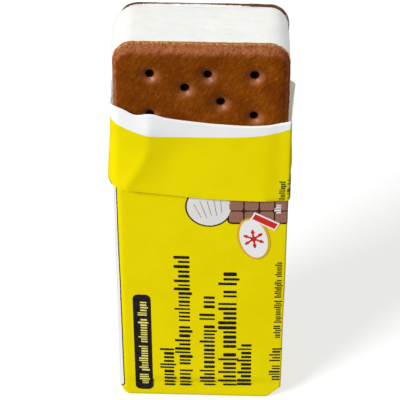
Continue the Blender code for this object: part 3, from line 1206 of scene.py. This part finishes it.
def panel_print(grey, dark):
    """The white panel's table, a ruled frame with rows of strokes, and a paragraph below it."""
    rules = Plates("print_panel_rules")
    rules.block((-48.6, 30.0), (-48.2, 71.0), 0.05, 1)
    rules.block((-27.8, 30.0), (-27.4, 71.0), 0.05, 1)
    for height in (30.0, 36.0, 66.4, 70.6):
        rules.block((-48.6, height), (-27.4, height + 0.4), 0.05, 1)
    rules.lay(LAYER, dark)
    rows = []
    for number in range(9):
        across = -47.0 + 2.05 * number
        lengths = (8.0 - number % 3, 6.0, 4.5 + number % 2)
        rows.append(((across, 37.5), (across + 1.1, 65.2), lengths, 41 + number, 3.0))
    for number in range(7):
        across = -46.8 + 2.7 * number
        lengths = (5.5, 4.2, 6.6 - number % 3)
        rows.append(((across, 6.0), (across + 1.2, 27.0), lengths, 61 + number, 0.9))
    text_lines("print_panel_rows", rows, LAYER, grey)


# ---------------------------------------------------------------- stage

def make_floor():
    """A pale floor that glows a little, so that shadows stay soft, and sends no light back up."""
    bm = bmesh.new()
    bmesh.ops.create_grid(bm, x_segments=1, y_segments=1, size=3.0)
    finish = Finish("pale_floor", {
        "Base Color": (0.45, 0.45, 0.45, 1.0), "Roughness": 0.9, "Specular IOR Level": 0.0,
        "Emission Color": (1.0, 1.0, 1.0, 1.0), "Emission Strength": 0.6,
    })
    floor = new_object("floor", bm)
    floor.data.materials.append(finish.material)
    floor.visible_diffuse = False
    floor.visible_glossy = False


def light_scene():
    scene = bpy.context.scene
    scene.view_settings.view_transform = "Standard"
    scene.world = bpy.data.worlds.new("studio")
    scene.world.use_nodes = True
    background = scene.world.node_tree.nodes["Background"]
    background.inputs["Color"].default_value = (1.0, 1.0, 1.0, 1.0)
    background.inputs["Strength"].default_value = WORLD_LIGHT
    for name, toward, strength, softness in SUNS:
        data = bpy.data.lights.new(name, "SUN")
        data.energy = strength
        data.angle = math.radians(softness)
        light = bpy.data.objects.new(name, data)
        light.rotation_euler = (-Vector(toward)).to_track_quat("-Z", "Y").to_euler()
        scene.collection.objects.link(light)


def add_camera():
    data = bpy.data.cameras.new("camera")
    data.lens = CAMERA_LENS
    data.sensor_width = 36.0
    data.clip_start = 0.01
    camera = bpy.data.objects.new("camera", data)
    azimuth = math.radians(CAMERA_AZIMUTH)
    elevation = math.radians(CAMERA_ELEVATION)
    back = Vector((
        math.sin(azimuth) * math.cos(elevation),
        -math.cos(azimuth) * math.cos(elevation),
        math.sin(elevation),
    ))
    turn = (-back).to_track_quat("-Z", "Y").to_matrix().to_4x4()
    roll = Matrix.Rotation(math.radians(CAMERA_ROLL), 4, "Z")
    move = Matrix.Translation(CAMERA_TARGET + back * CAMERA_DISTANCE)
    camera.matrix_world = move @ turn @ roll
    bpy.context.scene.collection.objects.link(camera)
    bpy.context.scene.camera = camera


# ---------------------------------------------------------------- materials

def chocolate():
    """Baked wafer: mottled crumb with painted glints, a paler edge band partly rubbed and partly
    painted highlight, painted shade at the right edge and in the holes.
    """
    finish = Finish("chocolate_wafer", {"Specular IOR Level": 0.03, "Coat Roughness": 0.38})
    place = finish.place()
    broad = finish.grain(place, 7 * MM)
    slanted = finish.turned(place, (0.0, math.radians(32), 0.0), (1.0, 1.0, 0.42))
    mottle = finish.grain(slanted, 0.75 * MM, 3.0, 0.6, 0.5)
    crumb = finish.grain(place, 0.34 * MM, 2.0, 0.6)
    tone = broad * 0.35 + mottle * 0.4 + crumb * 0.45 - 0.09
    face = finish.ramp(
        tone, (0.36, (0.125, 0.026, 0.0010)), (0.51, (0.195, 0.043, 0.0014)),
        (0.66, (0.29, 0.076, 0.0030)),
    )
    x, y, _ = finish.parts(place)
    # Painted glints: pale specks on the crumb, painted into the colour.
    painted_glints = (finish.grain(place, 0.3 * MM, 1.0) * 0.7 + mottle * 0.4).step(0.68, 0.76)
    # Painted shade: the wafer is painted darker towards its right edge, where its pillow turns away
    # from the light.
    right_edge_shade = (x / MM).step(19.0, 23.5)
    shaded = finish.blend(right_edge_shade * 0.3, face, (0.07, 0.014, 0.002))
    glint_flecked = finish.blend(painted_glints * 0.4, shaded, (0.50, 0.22, 0.09))

    # The band along the edge, paler where rubbed and as a painted highlight where it faces the
    # light, and the holes' lips with a painted highlight at their lower right
    edge = finish.painted("edge")
    rubbed_and_lit_band = (edge * 1.1 + (mottle - 0.5) * 0.6).step(0.12, 0.85) * (1.0 - right_edge_shade * 0.7)
    lip = finish.painted("lip")
    # The band's colour: rubbed crumb, lightened further as a painted highlight.
    worn = finish.ramp(
        crumb * 0.6 + mottle * 0.4, (0.40, (0.27, 0.074, 0.018)), (0.62, (0.56, 0.200, 0.090)),
    )
    # Painted highlight: the lips, mostly at the holes' lower right, are painted paler.
    lip_highlighted = finish.blend(lip * 0.35, glint_flecked, (0.50, 0.17, 0.06))
    rubbed_and_highlit = finish.blend(rubbed_and_lit_band * 0.75, lip_highlighted, worn)
    upright = finish.turned(place, (0.0, 0.0, 0.0), (1.0, 1.0, 0.06))
    streaks = finish.grain(upright, 0.45 * MM, 1.0)
    crack = streaks.step(0.60, 0.70) * finish.grain(place, 1.6 * MM, 1.0).step(0.5, 0.6)
    cracked = finish.blend(crack * rubbed_and_lit_band * 0.55, rubbed_and_highlit, (0.10, 0.018, 0.002))

    # The wall, which is crumbly at the front wafer and smeared with cream at the back one
    end = finish.ramp(
        crumb * 0.6 + mottle * 0.5, (0.40, (0.24, 0.065, 0.008)), (0.58, (0.46, 0.17, 0.03)),
        (0.70, (0.90, 0.68, 0.40)),
    )
    inward = (y - BACK_LOW.y) / MM
    middle = 1.0 - ((x + 2 * MM) / MM).size().step(4.0, 19.0)
    smear = 0.25 + middle * 0.9 + (broad - 0.5) * 2.2 + (crumb - 0.5) * 1.2 - inward
    back_end = finish.blend(smear.step(0.0, 0.4), (0.13, 0.036, 0.012), (0.90, 0.86, 0.82))
    end = finish.blend((y / MM).step(0.0, 1.0), end, back_end)
    body = finish.blend(finish.painted("wall").step(0.2, 0.8), cracked, end)
    # Painted shade: the insides of the holes are painted nearly black.
    dark = finish.blend(finish.painted("pit").step(0.05, 0.7), body, (0.012, 0.004, 0.001))
    relief = finish.bump(crumb * 0.6 + mottle * 0.8 - crack * rubbed_and_lit_band * 0.8, 0.22 * MM)
    return finish.show({
        "Base Color": dark, "Roughness": 0.55 + (mottle - 0.5) * 0.3,
        "Coat Weight": lip + rubbed_and_lit_band * 0.22, "Normal": relief,
    })


def vanilla():
    """Frozen cream: nearly white, with faint blotches, a warm line by the wafers, and frost."""
    finish = Finish("vanilla_ice_cream", {
        "Subsurface Weight": 0.25, "Subsurface Radius": (1.0, 0.8, 0.6),
        "Subsurface Scale": 1.5 * MM, "Specular IOR Level": 0.3,
    })
    place = finish.place()
    blotch = finish.grain(place, 5 * MM, 3.0, 0.55)
    frost = finish.grain(place, 0.5 * MM, 3.0, 0.6)
    cream = finish.ramp(blotch, (0.35, (0.885, 0.89, 0.85)), (0.65, (0.92, 0.925, 0.89)))
    line = finish.painted("rim") * (0.5 + frost)
    tinted = finish.blend(line.step(0.2, 0.9), cream, (0.97, 0.86, 0.62))
    relief = finish.bump(frost * 0.5 + blotch * 0.6, 0.10 * MM)
    return finish.show({"Base Color": tinted, "Roughness": 0.42 + frost * 0.2, "Normal": relief})


def paper_outside():
    """Coated paper: yellow, with a white margin at the mouth and a white panel on the left side,
    which is painted greyer as painted shade.
    """
    finish = Finish("printed_paper", {"Specular IOR Level": 0.02})
    place = finish.place()
    flat = finish.node("UVMap", {"uv_map": "sheet"}, {}).outputs["UV"]
    along, up, _ = finish.parts(flat)
    soft = finish.grain(place, 9 * MM)
    yellow = finish.ramp(soft, (0.3, (0.80, 0.665, 0.0008)), (0.7, (0.83, 0.70, 0.0012)))
    white = finish.painted("margin").step(-0.05, 0.05)
    printed = finish.blend(white, yellow, (0.87, 0.87, 0.875))
    edge = panel_edge(along, up)
    # The white panel on the left side, painted greyer than the margin's white as painted shade.
    panel_shaded = finish.blend((0.0 - edge).step(-0.04, 0.04), printed, (0.72, 0.73, 0.72))
    line = 1.0 - (edge + 0.16).size().step(0.15, 0.26)
    outlined = finish.blend(line, panel_shaded, (0.03, 0.028, 0.018))
    fibre = finish.grain(place, 0.25 * MM, 3.0, 0.6)
    crinkle = finish.grain(place, 3.5 * MM, 3.0, 0.55)
    relief = finish.bump(fibre * 0.08 + crinkle * 0.5, 0.12 * MM)
    return finish.show({
        "Base Color": outlined, "Roughness": 0.36 + fibre * 0.1, "Normal": relief,
    })


def panel_edge(along, up):
    """Distance in millimetres out of the white panel on the left side."""
    low, high = PANEL_LOW, PANEL_HIGH
    straight = along / MM - (up / MM - SLANT_MIDDLE) * -PRINT_SLANT
    across = (straight - (low[0] + high[0]) / 2).size()
    over_x = across - (high[0] - low[0]) / 2 + PANEL_CORNER
    over_z = (up / MM - (low[1] + high[1]) / 2).size() - (high[1] - low[1]) / 2 + PANEL_CORNER
    outside = (over_x.most(0.0) ** 2 + over_z.most(0.0) ** 2) ** 0.5
    return outside + over_x.most(over_z).least(0.0) - PANEL_CORNER


def paper_inside():
    """The sheet's bare white side. It glows faintly yellowish: painted light that stands for the
    yellow showing through and keeps it bright in shade.
    """
    finish = Finish("bare_paper_glowing", {
        "Roughness": 0.7, "Subsurface Weight": 0.5, "Subsurface Radius": (1.0, 1.0, 0.8),
        "Subsurface Scale": 0.4 * MM, "Specular IOR Level": 0.1,
        # Painted light: a faint yellowish glow on the bare side.
        "Emission Color": (1.0, 0.97, 0.84, 1.0), "Emission Strength": 0.16,
    })
    fibre = finish.grain(finish.place(), 0.3 * MM, 3.0, 0.6)
    colour = finish.ramp(fibre, (0.3, (0.82, 0.82, 0.76)), (0.7, (0.88, 0.88, 0.84)))
    return finish.show({"Base Color": colour, "Normal": finish.bump(fibre, 0.03 * MM)})


def ink(name, colour):
    """A print ink with slightly uneven cover and the paper's satin finish."""
    finish = Finish(name, {"Specular IOR Level": 0.15})
    cover = finish.grain(finish.place(), 1.2 * MM, 2.0, 0.6)
    thin = tuple(min(1.0, part + 0.015) for part in colour)
    shade = finish.ramp(cover, (0.35, colour), (0.75, thin))
    return finish.show({"Base Color": shade, "Roughness": 0.42 + cover * 0.12})


# ---------------------------------------------------------------- the model

def main():
    wafer_finish = chocolate()
    plate = pierced_plate()
    make_wafer("wafer_front", plate, False, wafer_finish, 1.0)
    make_wafer("wafer_back", plate, True, wafer_finish, 61.0)
    bpy.data.meshes.remove(plate)
    make_ice_cream(vanilla())
    make_paper(paper_outside(), paper_inside())
    dark = ink("ink_black", (0.008, 0.006, 0.003))
    front_print(dark, ink("ink_pale_yellow", (0.78, 0.70, 0.16)))
    picture_print(
        ink("ink_dark_brown", (0.045, 0.012, 0.005)), ink("ink_brown", (0.30, 0.14, 0.095)),
        ink("ink_cream", (0.76, 0.74, 0.72)), ink("ink_grey", (0.33, 0.31, 0.30)),
    )
    text_lines(
        "print_cuff_edge", EDGE_LINES, CUFF_LAYER, dark,
        slant=0.0, bend=BEND_CORNER, place_of=cuff_place,
    )
    rear_print(dark, ink("ink_box_white", (0.86, 0.86, 0.84)))
    panel_print(ink("ink_soft_black", (0.05, 0.05, 0.045)), dark)
    badge_print(
        ink("ink_gold", (0.72, 0.42, 0.015)), ink("ink_white", (0.85, 0.85, 0.85)),
        ink("ink_red", (0.62, 0.02, 0.015)),
    )
    make_end_flaps(ink("folded_end", (0.81, 0.68, 0.001)))
    make_floor()
    light_scene()
    add_camera()


main()
